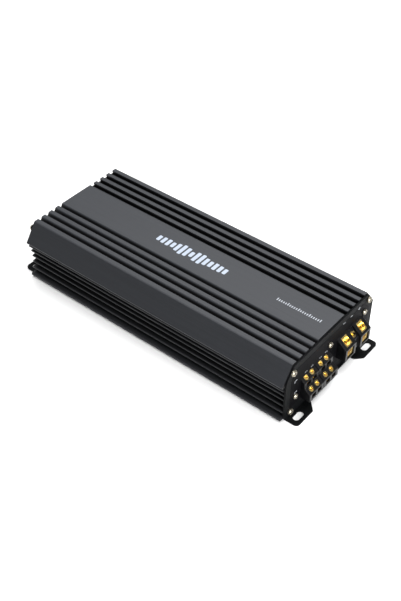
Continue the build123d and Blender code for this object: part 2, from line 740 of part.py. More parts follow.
with BuildPart() as circuit_board:
    with BuildSketch(Plane.XY.offset(RAIL_TOP)):
        Rectangle(BOARD_LENGTH, 2 * BOARD_HALF)
        with Locations(*[(x, side * RAIL_SCREW_Y) for x in BOARD_SCREW_X for side in (-1, 1)]):
            Circle(1.6, mode=Mode.SUBTRACT)
    extrude(amount=BOARD_THICK)
save(circuit_board, "circuit_board")

with BuildPart() as board_screws:
    for x in BOARD_SCREW_X:
        for side in (-1, 1):
            top = Plane(origin=(x, side * RAIL_SCREW_Y, BOARD_TOP), x_dir=(1, 0, 0), z_dir=(0, 0, 1))
            pan_screw(top, 5.6, head_r=2.2, head_height=1.6)
save(board_screws, "board_screws")


# ---------------------------------------------------------------- signal input jacks
with BuildPart() as jack_housing:
    with BuildSketch(Plane.YZ.offset(CONTROL_END + 0.2)):
        with Locations(((JACK_BODY[0] + JACK_BODY[1]) / 2, (BOARD_TOP + 40.0) / 2)):
            Rectangle(JACK_BODY[1] - JACK_BODY[0], 40.0 - BOARD_TOP)
    extrude(amount=12.0)
    with BuildSketch(Plane.YZ.offset(JACK_BOSS)):
        with Locations(*JACK_POSITIONS):
            Circle(5.4)
    extrude(amount=CONTROL_END + 0.2 - JACK_BOSS)
    with BuildSketch(Plane.YZ.offset(JACK_BOSS)):
        with Locations(*JACK_POSITIONS):
            Circle(JACK_BORE_R)
    extrude(amount=6.0, mode=Mode.SUBTRACT)
save(jack_housing, "jack_housing")

with BuildPart() as jack_shells:
    with BuildSketch(Plane.YZ.offset(JACK_BOSS)):
        with Locations(*JACK_POSITIONS):
            Circle(JACK_SHELL_R)
    extrude(amount=-8.4)
    with BuildSketch(Plane.YZ.offset(JACK_BOSS)):
        with Locations(*JACK_POSITIONS):
            Circle(JACK_TAIL_R)
    extrude(amount=5.6)
    with BuildSketch(Plane.YZ.offset(JACK_BOSS - 9.0)):
        with Locations(*JACK_POSITIONS):
            Circle(JACK_CORE_R)
    extrude(amount=16.0, mode=Mode.SUBTRACT)
save(jack_shells, "jack_shells")

with BuildPart() as jack_cores:
    with BuildSketch(Plane.YZ.offset(JACK_BOSS - 7.6)):
        with Locations(*JACK_POSITIONS):
            Circle(JACK_CORE_R - 0.02)
            Circle(1.7, mode=Mode.SUBTRACT)
    extrude(amount=13.0)
save(jack_cores, "jack_cores")


# ---------------------------------------------------------------- controls
with BuildPart() as potentiometer_bodies:
    for y in POT_Y:
        with BuildSketch(Plane.YZ.offset(CONTROL_END + 1.5)):
            with Locations((y, (BOARD_TOP + 25.0) / 2)):
                Rectangle(9.0, 25.0 - BOARD_TOP)
        extrude(amount=7.0)
        with BuildSketch(Plane.YZ.offset(CONTROL_END + 1.5)):
            with Locations((y, CONTROL_Z)):
                Circle(POT_SHAFT_R + 0.05)
        extrude(amount=4.0, mode=Mode.SUBTRACT)
save(potentiometer_bodies, "potentiometer_bodies")

for node, y in zip(POT_NODES, POT_Y):
    with BuildPart() as shaft:
        with BuildSketch(Plane.YZ.offset(CONTROL_FACE - 1.6)):
            with Locations((y, CONTROL_Z)):
                Circle(POT_SHAFT_R)
        extrude(amount=PLATE_THICK + 1.6 + 5.3)
        chamfer(shaft.edges().sort_by(Axis.X)[0], 0.4)
        with BuildSketch(Plane.YZ.offset(CONTROL_FACE - 1.6)):
            with Locations((y, CONTROL_Z)):
                Rectangle(1.0, 2 * POT_SHAFT_R + 1.0)
        extrude(amount=1.4, mode=Mode.SUBTRACT)
    save(shaft, f"{node}_shaft")

SLIDER_TRAVEL = 2.0
with BuildPart() as switch_bodies:
    for y in SWITCH_Y:
        with BuildSketch(Plane.YZ.offset(CONTROL_END + 1.5)):
            with Locations((y, (BOARD_TOP + 23.0) / 2)):
                Rectangle(8.4, 23.0 - BOARD_TOP)
        extrude(amount=6.0)
        with BuildSketch(Plane.YZ.offset(CONTROL_END + 1.5)):
            with Locations((y, CONTROL_Z)):
                Rectangle(SLIDER_SIZE[0] + 2 * SLIDER_TRAVEL + 0.3, SLIDER_SIZE[1] + 0.2)
        extrude(amount=2.5, mode=Mode.SUBTRACT)
save(switch_bodies, "switch_bodies")

for node, y in zip(SWITCH_NODES, SWITCH_Y):
    with BuildPart() as slider:
        with BuildSketch(Plane.YZ.offset(CONTROL_FACE - 0.6)):
            with Locations((y, CONTROL_Z)):
                Rectangle(*SLIDER_SIZE)
        extrude(amount=PLATE_THICK + 0.6 + 3.8)
        with BuildSketch(Plane.YZ.offset(CONTROL_FACE - 0.6)):
            for step in (-0.7, 0.7):
                with Locations((y + step, CONTROL_Z)):
                    Rectangle(0.4, SLIDER_SIZE[1] + 1.0)
        extrude(amount=0.5, mode=Mode.SUBTRACT)
    save(slider, f"{node}_slider")

with BuildPart() as status_leds:
    for y, z in LED_POSITIONS:
        with BuildSketch(Plane.YZ.offset(CONTROL_FACE)):
            with Locations((y, z)):
                Circle(LED_R)
        extrude(amount=7.0)
        with Locations((CONTROL_FACE, y, z)):
            Sphere(LED_R)
        with BuildSketch(Plane.YZ.offset(CONTROL_FACE + 7.0)):
            with Locations((y, z)):
                Rectangle(0.6, 2.6)
        extrude(amount=0.6)
save(status_leds, "status_leds")


# ---------------------------------------------------------------- power supply and output stage
# Parts on the board, from the terminal end towards the control end.
RING_WIRE = 1.6              # thickness of a winding on its ring


def wound_ring(x, y, inner, outer, height, arcs):
    """Winding sectors around a ring that lies above the board; arcs lists start and sweep."""
    middle = ((inner + outer) / 2, BOARD_TOP + 0.1 + height / 2)
    for start, sweep in arcs:
        plane = Plane(
            origin=(x, y, 0),
            x_dir=(cos(radians(start)), sin(radians(start)), 0),
            z_dir=(sin(radians(start)), -cos(radians(start)), 0),
        )
        with BuildSketch(plane) as section:
            with Locations(middle):
                Rectangle(outer - inner, height)
                Rectangle(outer - inner - 2 * RING_WIRE, height - 2 * RING_WIRE, mode=Mode.SUBTRACT)
        revolve(section.sketch, axis=Axis((x, y, 0), (0, 0, 1)), revolution_arc=sweep)


def ring_core(x, y, inner, outer, height):
    with BuildSketch(Plane.XY.offset(BOARD_TOP + 0.1 + RING_WIRE)) as ring:
        with Locations((x, y)):
            Circle(outer - RING_WIRE)
            Circle(inner + RING_WIRE, mode=Mode.SUBTRACT)
    extrude(ring.sketch, amount=height - 2 * RING_WIRE)


TRANSFORMER = dict(x=66.0, y=0.0, inner=8.0, outer=21.0, height=19.0)
INDUCTORS = [dict(x=-22.0, y=y, inner=3.4, outer=9.4, height=12.0) for y in (-31.0, -10.5, 10.5, 31.0)]

with BuildPart() as transformer_core:
    ring_core(**TRANSFORMER)
save(transformer_core, "transformer_core")

with BuildPart() as transformer_windings:
    wound_ring(**TRANSFORMER, arcs=((10, 160), (190, 160)))
save(transformer_windings, "transformer_windings")

with BuildPart() as inductor_cores:
    for ring in INDUCTORS:
        ring_core(**ring)
save(inductor_cores, "inductor_cores")

with BuildPart() as inductor_windings:
    for ring in INDUCTORS:
        wound_ring(**ring, arcs=((30, 300),))
save(inductor_windings, "inductor_windings")

with BuildPart() as electrolytic_capacitors:
    for x, y, radius, height in (
        *[(101.0, y, 8.0, 26.0) for y in (-26.0, -6.0, 14.0)],
        *[(26.0, y, 8.0, 26.0) for y in (-27.0, -9.0, 9.0, 27.0)],
        *[(-100.0, y, 3.1, 11.0) for y in (-30.0, -20.0, -10.0, 0.0, 10.0)],
    ):
        with BuildSketch(Plane.XY.offset(BOARD_TOP)):
            with Locations((x, y)):
                Circle(radius)
        extrude(amount=height)
save(electrolytic_capacitors, "electrolytic_capacitors")

TRANSISTOR_X = (-48.0, -12.0, 0.0, 33.0, 48.0, 78.0, 93.0)
TRANSISTOR_SIZE = (10.0, 4.4, 15.4)
PAD_THICK = 0.25
PAD_SPAN = (-56.0, 112.0)
BAR_THICK = 2.6
BAR_Z = (20.4, 26.6)

with BuildPart() as power_transistors:
    for side in (-1, 1):
        y = side * (WALL_IN - PAD_THICK - TRANSISTOR_SIZE[1] / 2)
        for x in TRANSISTOR_X:
            with BuildSketch(Plane.XY.offset(14.2)):
                with Locations((x, y)):
                    Rectangle(TRANSISTOR_SIZE[0], TRANSISTOR_SIZE[1])
            extrude(amount=TRANSISTOR_SIZE[2])
            with BuildSketch(Plane.XY.offset(BOARD_TOP)):
                with Locations(*[(x + step, y) for step in (-2.54, 0, 2.54)]):
                    Rectangle(0.9, 0.6)
            extrude(amount=14.2 - BOARD_TOP)
save(power_transistors, "power_transistors")

with BuildPart() as insulating_pads:
    for side in (-1, 1):
        with BuildSketch(Plane.XZ.offset(-side * WALL_IN)):
            with Locations(((PAD_SPAN[0] + PAD_SPAN[1]) / 2, 22.0)):
                Rectangle(PAD_SPAN[1] - PAD_SPAN[0], 17.0)
            with Locations(*[(x, CLAMP_Z) for x in CLAMP_SCREW_X]):
                Circle(1.6, mode=Mode.SUBTRACT)
        extrude(amount=side * PAD_THICK)
save(insulating_pads, "insulating_pads")

BAR_OUTER = WALL_IN - PAD_THICK - TRANSISTOR_SIZE[1]
with BuildPart() as clamp_bars:
    for side in (-1, 1):
        with BuildSketch(Plane.XZ.offset(-side * BAR_OUTER)):
            with Locations(((PAD_SPAN[0] + PAD_SPAN[1]) / 2, (BAR_Z[0] + BAR_Z[1]) / 2)):
                Rectangle(PAD_SPAN[1] - PAD_SPAN[0], BAR_Z[1] - BAR_Z[0])
            with Locations(*[(x, CLAMP_Z) for x in CLAMP_SCREW_X]):
                Circle(1.6, mode=Mode.SUBTRACT)
        extrude(amount=side * BAR_THICK)
save(clamp_bars, "clamp_bars")

with BuildPart() as clamp_screws:
    for side in (-1, 1):
        for x in CLAMP_SCREW_X:
            face = Plane(
                origin=(x, side * (BAR_OUTER - BAR_THICK), CLAMP_Z), x_dir=(1, 0, 0), z_dir=(0, -side, 0)
            )
            pan_screw(face, BAR_THICK + TRANSISTOR_SIZE[1] + PAD_THICK + 3.6)
save(clamp_screws, "clamp_screws")


# ---------------------------------------------------------------- driver board and chips
DRIVER_X = -66.0
with BuildPart() as driver_board:
    with BuildSketch(Plane.YZ.offset(DRIVER_X)):
        with Locations((0, BOARD_TOP + 14.0)):
            Rectangle(62.0, 28.0)
    extrude(amount=BOARD_THICK)
save(driver_board, "driver_board")

with BuildPart() as driver_chips:
    for y in (-22.0, -7.5, 7.5, 22.0):
        with BuildSketch(Plane.YZ.offset(DRIVER_X + BOARD_THICK)):
            with Locations((y, BOARD_TOP + 16.0)):
                Rectangle(8.0, 10.0)
        extrude(amount=1.8)
save(driver_chips, "driver_chips")

with BuildPart() as preamp_chips:
    with BuildSketch(Plane.XY.offset(BOARD_TOP)):
        with Locations(*[(-84.0, y) for y in (-32.0, -16.0, 0.0, 16.0, 32.0)]):
            Rectangle(5.0, 9.0)
    extrude(amount=1.6)
save(preamp_chips, "preamp_chips")
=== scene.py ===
from math import cos, radians, sin

import bmesh
import bpy
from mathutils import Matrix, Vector


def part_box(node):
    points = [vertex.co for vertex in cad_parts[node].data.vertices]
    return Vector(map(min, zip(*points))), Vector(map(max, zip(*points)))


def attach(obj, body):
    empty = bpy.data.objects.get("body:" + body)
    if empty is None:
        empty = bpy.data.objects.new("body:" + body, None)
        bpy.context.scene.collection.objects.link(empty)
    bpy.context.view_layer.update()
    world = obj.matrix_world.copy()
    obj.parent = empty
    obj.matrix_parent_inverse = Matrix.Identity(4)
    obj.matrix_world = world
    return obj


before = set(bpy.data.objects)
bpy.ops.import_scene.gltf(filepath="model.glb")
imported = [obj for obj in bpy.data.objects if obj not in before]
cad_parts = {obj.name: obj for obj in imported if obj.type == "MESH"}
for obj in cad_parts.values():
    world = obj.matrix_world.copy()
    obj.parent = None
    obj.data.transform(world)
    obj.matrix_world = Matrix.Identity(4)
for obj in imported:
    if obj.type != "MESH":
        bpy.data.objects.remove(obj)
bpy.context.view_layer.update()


# ------------------------------------------------------------ heatsink housing
# One aluminium extrusion, sawn square at both ends and anodised a dark grey. The die leaves
# fine lines along its whole length, and the dye takes a little unevenly between them.
MM = 0.001


def srgb(code):
    """The linear colour of an sRGB hex code."""
    parts = [int(code[i:i + 2], 16) / 255 for i in (0, 2, 4)]
    return (*[c / 12.92 if c <= 0.04045 else ((c + 0.055) / 1.055) ** 2.4 for c in parts], 1.0)


def add_node(material, kind, sockets, **settings):
    """One shader node. Each socket takes a value, or another node's output to link from."""
    node = material.node_tree.nodes.new("ShaderNode" + kind)
    for name, value in settings.items():
        setattr(node, name, value)
    for socket, value in sockets.items():
        if isinstance(value, bpy.types.NodeSocket):
            material.node_tree.links.new(value, node.inputs[socket])
        else:
            node.inputs[socket].default_value = value
    return node


def surface(name, **constants):
    """A material whose shader's own sockets hold whatever is the same all over."""
    material = bpy.data.materials.new(name)
    material.use_nodes = True
    shader = material.node_tree.nodes["Principled BSDF"]
    for socket, value in constants.items():
        shader.inputs[socket.replace("_", " ")].default_value = value
    return material


def wire(material, socket, output):
    """Links an output to a socket of the material's shader."""
    shader = material.node_tree.nodes["Principled BSDF"]
    material.node_tree.links.new(output, shader.inputs[socket])


def grain(material, size_mm, detail=2.0, stretch=(1.0, 1.0, 1.0)):
    """Noise from 0 to 1 whose features are size_mm wide, drawn out along each axis by stretch."""
    place = add_node(material, "TexCoord", {}).outputs["Object"]
    scale = tuple(1 / (size_mm * MM * s) for s in stretch)
    mapped = add_node(material, "Mapping", {"Vector": place, "Scale": scale}).outputs[0]
    return add_node(material, "TexNoise", {"Vector": mapped, "Scale": 1.0, "Detail": detail}).outputs["Fac"]


def mottle(material, pattern, colours=None, roughness=None, depth_mm=None):
    """Lets a pattern vary the colour and the roughness between two values, and raise the surface."""
    if colours:
        dark, light = colours
        blend = add_node(material, "Mix", {0: pattern, 6: srgb(dark), 7: srgb(light)}, data_type="RGBA")
        wire(material, "Base Color", blend.outputs[2])
    if roughness:
        low, high = roughness
        spread = add_node(material, "MapRange", {"Value": pattern, "To Min": low, "To Max": high})
        wire(material, "Roughness", spread.outputs["Result"])
    if depth_mm:
        relief = {"Height": pattern, "Distance": depth_mm * MM, "Strength": 1.0}
        wire(material, "Normal", add_node(material, "Bump", relief).outputs["Normal"])


def dress(material, *nodes):
    """Gives CAD nodes a material in place of their own."""
    for node in nodes:
        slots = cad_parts[node].data.materials
        slots.clear()
        slots.append(material)


case_low, case_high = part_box("heatsink_housing")
CHAMFER_NORMAL = (0.807, 0.591)     # across and up
CHAMFER_REACH = 73.0                # distance of the chamfer's face from the origin, in millimetres
TOP_FADE = (1.6, 0.3)               # depths in millimetres, where the painted shade in a groove starts and ends
FLANK_FADE = (7.0, 2.6)
CHAMFER_FADE = (2.6, 0.4)
END_FADE = (0.02, 0.06)             # the sawn ends get the same painted shade as the grooves
FLANK_PAINTED_SHADE = 0.4                   # how much of the top's grey the fins on the flanks keep; the rest is painted shade
# how much of the top's grey the chamfers keep; the rest is painted shade
CHAMFER_PAINTED_SHADE = 0.62
DIE_LINE_MM = 0.9                   # drawn coarser than the real 0.1 mm, so that it shows
DIE_LINE_STRETCH = (90.0, 1.0, 1.0)


def painted_shade_mask(material):
    """Painted shade by position: 1 on the extrusion's top, less on its other outer faces, 0 in its grooves
    and at its ends.
    """
    place = add_node(material, "TexCoord", {}).outputs["Object"]
    folded = add_node(material, "VectorMath", {0: place}, operation="ABSOLUTE").outputs["Vector"]
    along, across, up = add_node(material, "SeparateXYZ", {"Vector": folded}).outputs
    normal = (0.0, *CHAMFER_NORMAL)
    slant = add_node(material, "VectorMath", {0: folded, 1: normal}, operation="DOT_PRODUCT")
    outside = 0.0
    for distance, reach, (bottom, face), shade in (
        (up, case_high.z / MM, TOP_FADE, 1.0),
        (across, case_high.y / MM, FLANK_FADE, FLANK_PAINTED_SHADE),
        (slant.outputs["Value"], CHAMFER_REACH, CHAMFER_FADE, CHAMFER_PAINTED_SHADE),
    ):
        span = {"From Min": (reach - bottom) * MM, "From Max": (reach - face) * MM}
        fade = add_node(material, "MapRange", {"Value": distance, **span, "To Max": shade})
        lightest = add_node(
            material, "Math", {0: outside, 1: fade.outputs["Result"]}, operation="MAXIMUM"
        )
        outside = lightest.outputs[0]
    sawn, inner = (case_high.x - depth * MM for depth in END_FADE)
    ends = add_node(material, "MapRange", {"Value": along, "From Min": sawn, "From Max": inner})
    shaded = {0: outside, 1: ends.outputs["Result"]}
    return add_node(material, "Math", shaded, operation="MULTIPLY").outputs[0]


# To the eye it is a deep grey with a soft sheen, finely lined, over grooves that look black. The grooves'
# black, the dark sawn ends and the darker flanks and chamfers are painted shade, mixed into the colour by
# position.
anodised = surface("anodised_aluminium", IOR=1.5, Specular_IOR_Level=0.3)
die_lines = grain(anodised, DIE_LINE_MM, 3.0, DIE_LINE_STRETCH)
grey = add_node(anodised, "Mix", {0: die_lines, 6: srgb("282a2e"), 7: srgb("35373b")}, data_type="RGBA")
# Near black painted shade is mixed over the lined grey wherever the shade mask is below 1.
painted_shade_sockets = {0: painted_shade_mask(anodised), 6: srgb("050506"), 7: grey.outputs[2]}
grey_under_painted_shade = add_node(anodised, "Mix", painted_shade_sockets, data_type="RGBA")
wire(anodised, "Base Color", grey_under_painted_shade.outputs[2])
mottle(anodised, die_lines, roughness=(0.40, 0.56), depth_mm=0.012)
dress(anodised, "heatsink_housing")


# ------------------------------------------------------------ print on the top panel
# Pale ink, silk-screened on the centre panel: a row of level bars in the middle, and a short
# scale of fine strokes near the terminal end. Both are plain decoration.
def mesh_object(name, material, build):
    """An object at the origin, whose mesh one bmesh function builds in place."""
    shape = bmesh.new()
    build(shape)
    mesh = bpy.data.meshes.new(name)
    shape.to_mesh(mesh)
    shape.free()
    mesh.materials.append(material)
    made = bpy.data.objects.new(name, mesh)
    bpy.context.scene.collection.objects.link(made)
    return made


def new_piece(name, material, body, build):
    """A piece of the object, riding on a body."""
    piece = mesh_object(name, material, build)
    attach(piece, body)
    return piece


def bar_of_ink(shape, centre, size, corner=0.0):
    """A thin block, with the four edges along its thinnest side rounded."""
    block = bmesh.ops.create_cube(shape, size=1.0)["verts"]
    bmesh.ops.scale(shape, vec=size, verts=block)
    if corner:
        thin = size.index(min(size))
        edges = {edge for vert in block for edge in vert.link_edges}
        upright = [e for e in edges if abs((e.verts[0].co - e.verts[1].co)[thin]) > size[thin] / 2]
        rounded = bmesh.ops.bevel(
            shape, geom=upright, offset=corner, offset_type="OFFSET", segments=4, profile=0.5,
            affect="EDGES", material=-1, clamp_overlap=True,
        )
        kept = {vert for vert in block if vert.is_valid}
        block = list(kept | {vert for face in rounded["faces"] for vert in face.verts})
    bmesh.ops.translate(shape, vec=centre, verts=block)


INK_THICK = 0.04 * MM
INK_Z = case_high.z + INK_THICK / 2
INK_MOTTLE_MM = 1.2

BAR_COUNT = 15
BAR_PITCH = 4.95 * MM
BAR_WIDTH = 3.3 * MM
BAR_CORNER = 0.9 * MM
BAR_TALLEST = 13.5 * MM
BAR_SHORTEST = 6.0 * MM
BAR_ROW_MIDDLE = (-2.0 * MM, -0.5 * MM)

SCALE_COUNT = 21
SCALE_PITCH = 2.0 * MM
SCALE_FROM_END = 50.0 * MM
SCALE_BASE_Y = -1.5 * MM
SCALE_STROKE = 0.8 * MM
SCALE_LONG = 3.0 * MM               # every fifth stroke
SCALE_SHORT = 2.2 * MM


def level_bars(shape):
    middle_x, middle_y = BAR_ROW_MIDDLE
    for i in range(BAR_COUNT):
        offset = i - (BAR_COUNT - 1) / 2
        # A fast wave under a slow one, so that the row rises and falls without repeating.
        swing = abs(sin(0.55 + 0.83 * i)) * (0.55 + 0.45 * cos(0.4 * offset))
        height = BAR_SHORTEST + (BAR_TALLEST - BAR_SHORTEST) * swing
        place = (middle_x + offset * BAR_PITCH, middle_y, INK_Z)
        bar_of_ink(shape, place, (BAR_WIDTH, height, INK_THICK), BAR_CORNER)


def fine_scale(shape):
    for i in range(SCALE_COUNT):
        height = SCALE_SHORT if i % 5 else SCALE_LONG
        place = (case_high.x - SCALE_FROM_END + i * SCALE_PITCH, SCALE_BASE_Y + height / 2, INK_Z)
        bar_of_ink(shape, place, (SCALE_STROKE, height, INK_THICK))


# Matt and slightly blue, with the screen's faint unevenness.
ink = surface("screen_printed_ink", IOR=1.5)
mottle(ink, grain(ink, INK_MOTTLE_MM), ("98a2b1", "a9b2bf"), (0.5, 0.65))
new_piece("panel_level_bars", ink, "chassis", level_bars)

# The same ink with less blue in it, which the scale's fine strokes need to read as grey.
faint_ink = surface("faint_grey_ink", IOR=1.5)
mottle(faint_ink, grain(faint_ink, INK_MOTTLE_MM), ("969ba3", "abb0b7"), (0.5, 0.65))
new_piece("panel_fine_scale", faint_ink, "chassis", fine_scale)


# ------------------------------------------------------------ bottom cover
# A flat sheet of steel, zinc plated and then painted black. It closes the underside of the
# housing, and is held by countersunk screws.
# The paint is a soft black with a fine dry speckle.
cover_paint = surface("black_sheet_paint", IOR=1.5)
mottle(cover_paint, grain(cover_paint, 0.8), ("1c1d1f", "26272a"), (0.45, 0.6), 0.02)
dress(cover_paint, "bottom_cover")


# ------------------------------------------------------------ end plates
# Sheet steel, punched and bent, with a fine-textured black powder coat. The coat's grain is
# drawn 0.7 mm wide, a little coarser than it is, so that it shows.
# The coat takes nearly all the light, with a pebbled, barely glossy skin and faint clouds.
powder = surface("powder_coated_steel", IOR=1.5, Specular_IOR_Level=0.04)
mottle(powder, grain(powder, 14.0), colours=("08090a", "101112"))
mottle(powder, grain(powder, 0.7, 3.0), roughness=(0.42, 0.62), depth_mm=0.03)
dress(powder, "terminal_end_plate", "control_end_plate")


# ------------------------------------------------------------ label on the terminal end
# A thin black polyester film stuck to the end plate, cut out around both terminal blocks. It
# carries plain printed marks: a stroke or a plus over each power terminal, dots over the pairs
# of speaker terminals, and two corners.
PLATE_THICK = 1.5 * MM
FILM_THICK = 0.15 * MM
plate_face = case_high.x + PLATE_THICK
FILM_OUTLINE = (                    # across and up, in millimetres, with the top corners cut off
    (-53.0, 9.6), (-53.0, 38.6), (-46.6, 47.4), (46.6, 47.4), (53.0, 38.6), (53.0, 9.6),
)
FILM_HOLES = (                      # y from and to, z from and to, 0.3 mm clear of each block
    ((8.7 * MM, 45.3 * MM), (15.1 * MM, 36.3 * MM)),
    ((-39.4 * MM, -0.6 * MM), (10.3 * MM, 31.3 * MM)),
)


def in_a_hole(face):
    middle = face.calc_center_median()
    return any(y0 < middle.y < y1 and z0 < middle.z < z1 for (y0, y1), (z0, z1) in FILM_HOLES)


def terminal_label(shape):
    shape.faces.new([shape.verts.new((plate_face, y * MM, z * MM)) for y, z in FILM_OUTLINE])
    for across, up in FILM_HOLES:
        cuts = [((0, y, 0), (0, 1, 0)) for y in across] + [((0, 0, z), (0, 0, 1)) for z in up]
        for place, way in cuts:
            everything = shape.verts[:] + shape.edges[:] + shape.faces[:]
            bmesh.ops.bisect_plane(shape, geom=everything, plane_co=place, plane_no=way)
    bmesh.ops.delete(shape, geom=[face for face in shape.faces if in_a_hole(face)], context="FACES")
    raised = bmesh.ops.extrude_face_region(shape, geom=shape.faces[:])["geom"]
    moved = [vert for vert in raised if isinstance(vert, bmesh.types.BMVert)]
    bmesh.ops.translate(shape, vec=(FILM_THICK, 0, 0), verts=moved)
    bmesh.ops.recalc_face_normals(shape, faces=shape.faces)


# Very dark, smooth and nearly without reflections, so that it reads flatter than the coat.
film = surface("black_polyester_film", IOR=1.55, Specular_IOR_Level=0.015)
mottle(film, grain(film, 0.9), ("060607", "0c0c0e"), (0.40, 0.52), 0.01)
new_piece("terminal_label", film, "chassis", terminal_label)

power_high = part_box("power_terminal_housing")[1]
speaker_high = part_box("speaker_terminal_housing")[1]
MARK_FACE = plate_face + FILM_THICK + INK_THICK / 2
STROKE = 0.6 * MM
POWER_MARK_Z = power_high.z + 6.0 * MM
POWER_MARK_WIDTH = 3.5 * MM
PLUS_STUB = 0.9 * MM                # the plus stands up above its stroke, and down below it, by this
SPEAKER_MARK_Z = speaker_high.z + 3.4 * MM
SPEAKER_DOT = 0.9 * MM              # two of them, a dot's width apart
CORNER_MARKS = ((-47.0 * MM, 35.5 * MM), (-46.0 * MM, 22.5 * MM))
CORNER_WIDTH = 3.2 * MM
CORNER_DROP = 1.6 * MM
CORNER_STEP = (1.3 * MM, 1.2 * MM)  # from the middle of a corner's stroke to its drop's middle


def stroke(shape, y, z, wide, high):
    bar_of_ink(shape, (MARK_FACE, y, z), (INK_THICK, wide, high))


def terminal_marks(shape):
    for contact in ("ground_contact", "remote_contact", "battery_contact"):
        low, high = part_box(contact)
        stroke(shape, (low.y + high.y) / 2, POWER_MARK_Z, POWER_MARK_WIDTH, STROKE)
    low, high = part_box("battery_contact")
    plus_y = (low.y + high.y) / 2
    for side in (1, -1):
        stroke(shape, plus_y, POWER_MARK_Z + side * (STROKE + PLUS_STUB) / 2, STROKE, PLUS_STUB)
    for n in (1, 2, 3, 4):
        low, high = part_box(f"speaker_screw_upper_{n}")
        pair_y = (low.y + high.y) / 2
        for side in (-1, 1):
            stroke(shape, pair_y + side * SPEAKER_DOT, SPEAKER_MARK_Z, SPEAKER_DOT, SPEAKER_DOT)
    for y, z in CORNER_MARKS:
        stroke(shape, y, z, CORNER_WIDTH, STROKE)
        stroke(shape, y - CORNER_STEP[0], z - CORNER_STEP[1], STROKE, CORNER_DROP)


# Printed thin enough for the black to show through, so it looks a dull middle grey.
mark_ink = surface("dim_grey_ink", IOR=1.5)
mottle(mark_ink, grain(mark_ink, INK_MOTTLE_MM), ("7e8185", "93969b"), (0.5, 0.65))
new_piece("terminal_marks", mark_ink, "chassis", terminal_marks)


# ------------------------------------------------------------ print on the control end
# The same dim ink, printed straight on the powder coat: an arc of dots for each shaft, end
# marks for the two switches, and a fine rule over the controls of each pair of channels.
CONTROL_INK_FACE = case_low.x - PLATE_THICK - INK_THICK / 2
SHAFTS = ("front_crossover", "front_gain", "bass_boost", "rear_gain", "rear_crossover")
ARC_DOTS = 7
ARC_SWEEP = 280                     # degrees, open at the bottom
ARC_RADIUS = 4.2 * MM
DOT = 0.55 * MM
SWITCHES = ("front_filter_slider", "rear_filter_slider")
SWITCH_MARK_STEP = (2.6 * MM, 3.4 * MM)
SWITCH_MARK_WIDTH = 1.4 * MM
RULED = (("front_filter_slider", "bass_boost_shaft"), ("rear_gain_shaft", "rear_filter_slider"))
RULE = 0.35 * MM
RULE_Z = 28.6 * MM
RULE_OVERHANG = 3.0 * MM
RULE_HOOK = 1.6 * MM


def node_middle(node):
    """The middle of a node's box, across and up."""
    low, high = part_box(node)
    return (low.y + high.y) / 2, (low.z + high.z) / 2


def control_stroke(shape, y, z, wide, high):
    bar_of_ink(shape, (CONTROL_INK_FACE, y, z), (INK_THICK, wide, high))


def control_marks(shape):
    for shaft in SHAFTS:
        y, z = node_middle(shaft + "_shaft")
        for step in range(ARC_DOTS):
            turn = radians(ARC_SWEEP * (step / (ARC_DOTS - 1) - 0.5))
            control_stroke(shape, y + ARC_RADIUS * sin(turn), z + ARC_RADIUS * cos(turn), DOT, DOT)
    for switch in SWITCHES:
        y, z = node_middle(switch)
        aside, above = SWITCH_MARK_STEP
        for side in (-1, 1):
            control_stroke(shape, y + side * aside, z + above, SWITCH_MARK_WIDTH, DOT)
    for ends in RULED:
        left, right = sorted(node_middle(node)[0] for node in ends)
        left, right = left - RULE_OVERHANG, right + RULE_OVERHANG
        control_stroke(shape, (left + right) / 2, RULE_Z, right - left, RULE)
        for y in (left, right):
            control_stroke(shape, y, RULE_Z - RULE_HOOK / 2, RULE, RULE_HOOK)


new_piece("control_marks", mark_ink, "chassis", control_marks)


# ------------------------------------------------------------ screws through the plates
# Pressed steel screws with a cross recess, plated with nickel. The ones that hold the bottom
# cover and the clamping bars have a black finish.
# The nickel is bright and slightly yellow, and its faint turning marks break up reflections.
nickel = surface("nickel_plated_steel", Metallic=1.0, Base_Color=srgb("8f897b"))
mottle(nickel, grain(nickel, 0.4), roughness=(0.26, 0.44), depth_mm=0.01)
dress(nickel, "terminal_end_screws", "control_end_screws", "block_screws", "board_screws")

# The oxide is a soft black that still reflects like metal.
black_oxide = surface("black_oxide_steel", Metallic=0.6, Base_Color=srgb("2a2a2c"))
mottle(black_oxide, grain(black_oxide, 0.4), roughness=(0.35, 0.5))
dress(black_oxide, "cover_screws", "clamp_screws")


# ------------------------------------------------------------ terminal blocks
# Both blocks and the shell of the jacks are moulded in black glass-filled nylon. The blocks
# stand through windows in the end plate, and carry the contacts.
# The nylon has a satin gloss, faint flow lines, and a fine sparkle from the mould's surface.
nylon = surface("moulded_black_nylon", IOR=1.53, Specular_IOR_Level=0.2)
mottle(nylon, grain(nylon, 3.0, 3.0, (1.0, 2.0, 1.0)), ("060607", "0c0c0e"), (0.26, 0.38))
mottle(nylon, grain(nylon, 0.25), depth_mm=0.008)
dress(nylon, "power_terminal_housing", "speaker_terminal_housing", "jack_housing")


# ------------------------------------------------------------ contacts and set screws
# Turned and milled brass under a thin layer of gold, held in the terminal blocks. A set screw
# in each contact clamps the wire.
BORE_FADE = (26.5 * MM, 25.0 * MM)  # heights between which a contact turns into its drilled bore


